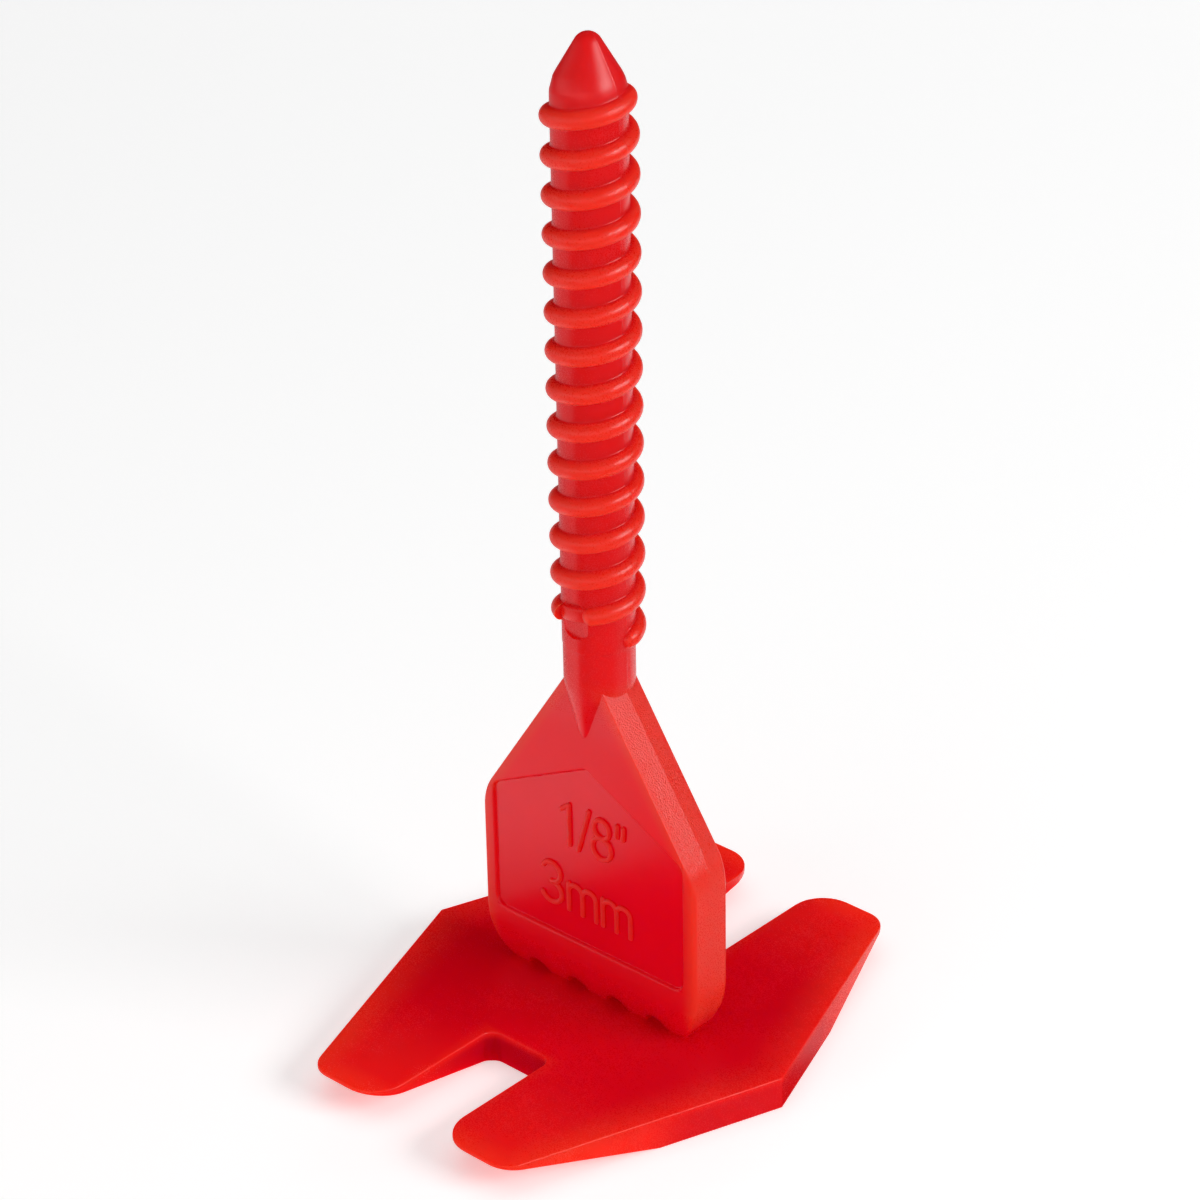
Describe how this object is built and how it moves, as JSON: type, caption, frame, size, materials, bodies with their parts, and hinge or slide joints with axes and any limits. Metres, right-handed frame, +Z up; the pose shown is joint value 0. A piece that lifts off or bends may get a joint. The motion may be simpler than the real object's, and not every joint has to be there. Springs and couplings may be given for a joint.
{
  "type": "tile levelling clip",
  "caption": "One-piece moulded tile levelling clip: forked base with tapered prongs, a thin spade that sets the joint width, and a coarse threaded post for a screw-down cap.",
  "frame": {"origin": "middle of the base's flat underside, on the post's axis", "axes": "+Z up the post, X along the spade's width, Y along the prongs and through the spade's thickness; the sunken panel faces -Y"},
  "size_m": [0.028, 0.0346, 0.0637],
  "materials": {
    "red_plastic": "satin moulded, faintly translucent at thin edges"
  },
  "bodies": {
    "root": {"levelling_clip": "red_plastic"}
  },
  "joints": []
}
